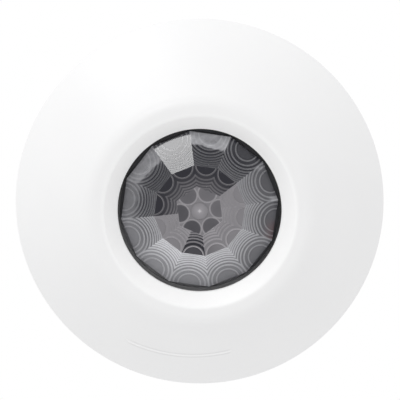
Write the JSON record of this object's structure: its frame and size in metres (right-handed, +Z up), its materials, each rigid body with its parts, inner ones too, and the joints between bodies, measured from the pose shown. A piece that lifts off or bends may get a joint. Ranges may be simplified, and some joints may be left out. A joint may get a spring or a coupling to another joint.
{
  "type": "motion detector",
  "caption": "Ceiling motion detector for flush mounting: white dished cover ring, faceted ringed lens, potted body with sprung clips, hinged lid over the terminals.",
  "frame": {"origin": "centre of the ceiling opening, on the ceiling's lower face, where the flange's back and the cover ring's rim lie", "axes": "+Z up into the ceiling, the lens faces -Z into the room; +X and -X are the sprung clips' sides, +Y is the cable entry's side and -Y the lid hinge's side"},
  "size_m": [0.108, 0.108, 0.0625],
  "materials": {
    "white_cover": "satin white moulding",
    "lens": "smoked translucent, smooth face",
    "black_plastic": "fine matt",
    "white_body": "fine spark texture",
    "zinc_screw": "bright zinc",
    "circuit_board": "green solder mask",
    "nickel_can": "nickel plated",
    "infrared_window": "dark coated silicon",
    "red_led": "clear red epoxy",
    "light_cell": "clear epoxy over the cell",
    "chip_ceramic": "fired",
    "trimmer_blue": "moulded",
    "knob_grey": "moulded",
    "foam": "closed cell foam",
    "hinge_steel": "drawn wire",
    "clip_steel": "spring steel strip, zinc plated",
    "film_capacitor": "moulded case",
    "capacitor_sleeve": "shrink sleeve",
    "varistor_coat": "dipped",
    "choke_ferrite": "sintered ferrite with shrink sleeve",
    "resistor_coat": "lacquered",
    "tin_pin": "tin plated",
    "terminal_plastic": "moulded polyamide",
    "brass": "nickel flashed"
  },
  "bodies": {
    "base": {"fresnel_lens": "lens", "lens_retainer": "black_plastic", "pyro_base": "black_plastic", "controller_chip": "black_plastic", "amplifier_chip": "black_plastic", "bridge_rectifier": "black_plastic", "link_header": "black_plastic", "link_base": "black_plastic", "relay": "black_plastic", "inner_cover": "white_body", "housing": "white_body", "mounting_flange": "white_body", "wiring_tray": "white_body", "cable_clamp": "white_body", "retainer_screws": "zinc_screw", "inner_cover_screws": "zinc_screw", "sensor_board_screws": "zinc_screw", "power_board_screws": "zinc_screw", "clamp_screws": "zinc_screw", "terminal_screws": "zinc_screw", "sensor_board": "circuit_board", "power_board": "circuit_board", "pyro_can": "nickel_can", "pyro_window": "infrared_window", "indicator_led": "red_led", "light_sensor": "light_cell", "chip_resistors": "chip_ceramic", "chip_capacitors": "chip_ceramic", "time_trimmer": "trimmer_blue", "light_trimmer": "trimmer_blue", "ceiling_gasket": "foam", "lid_hinge_pin": "hinge_steel", "right_clip_pin": "hinge_steel", "left_clip_pin": "hinge_steel", "dropper_capacitor": "film_capacitor", "filter_capacitor": "capacitor_sleeve", "supply_capacitor": "capacitor_sleeve", "varistor": "varistor_coat", "choke": "choke_ferrite", "fuse_resistor": "resistor_coat", "link_pins": "tin_pin", "terminal_pins": "tin_pin", "terminal_block": "terminal_plastic", "terminal_cages": "brass"},
    "cover": {"cover_ring": "white_cover"},
    "time_dial": {"time_knob": "knob_grey"},
    "light_dial": {"light_knob": "knob_grey"},
    "lid": {"terminal_cover": "white_body"},
    "right_clip_arm": {"right_clip": "clip_steel", "right_clip_spring": "hinge_steel"},
    "left_clip_arm": {"left_clip": "clip_steel", "left_clip_spring": "hinge_steel"}
  },
  "joints": [
    {"name": "cover_pull", "type": "slide", "parent": "base", "child": "cover", "axis": [0, 0, -1], "range_m": [0, 0.03]},
    {"name": "time_turn", "type": "hinge", "parent": "base", "child": "time_dial", "pos_m": [0.01134, 0.03115, -0.01035], "axis": [0, 0, -1], "range_deg": [-135, 135]},
    {"name": "light_turn", "type": "hinge", "parent": "base", "child": "light_dial", "pos_m": [-0.01134, 0.03115, -0.01035], "axis": [0, 0, -1], "range_deg": [-135, 135]},
    {"name": "lid_swing", "type": "hinge", "parent": "base", "child": "lid", "pos_m": [0, -0.029, 0.0399], "axis": [1, 0, 0], "range_deg": [0, 110]},
    {"name": "right_clip_fold", "type": "hinge", "parent": "base", "child": "right_clip_arm", "pos_m": [0.0286, 0, 0.0075], "axis": [0, -1, 0], "range_deg": [0, 90], "stiffness_Nm_per_rad": 0.02, "springref_deg": -40.11, "deforming": ["right_clip_spring"]},
    {"name": "left_clip_fold", "type": "hinge", "parent": "base", "child": "left_clip_arm", "pos_m": [-0.0286, 0, 0.0075], "axis": [0, 1, 0], "range_deg": [0, 90], "stiffness_Nm_per_rad": 0.02, "springref_deg": -40.11, "deforming": ["left_clip_spring"]}
  ]
}
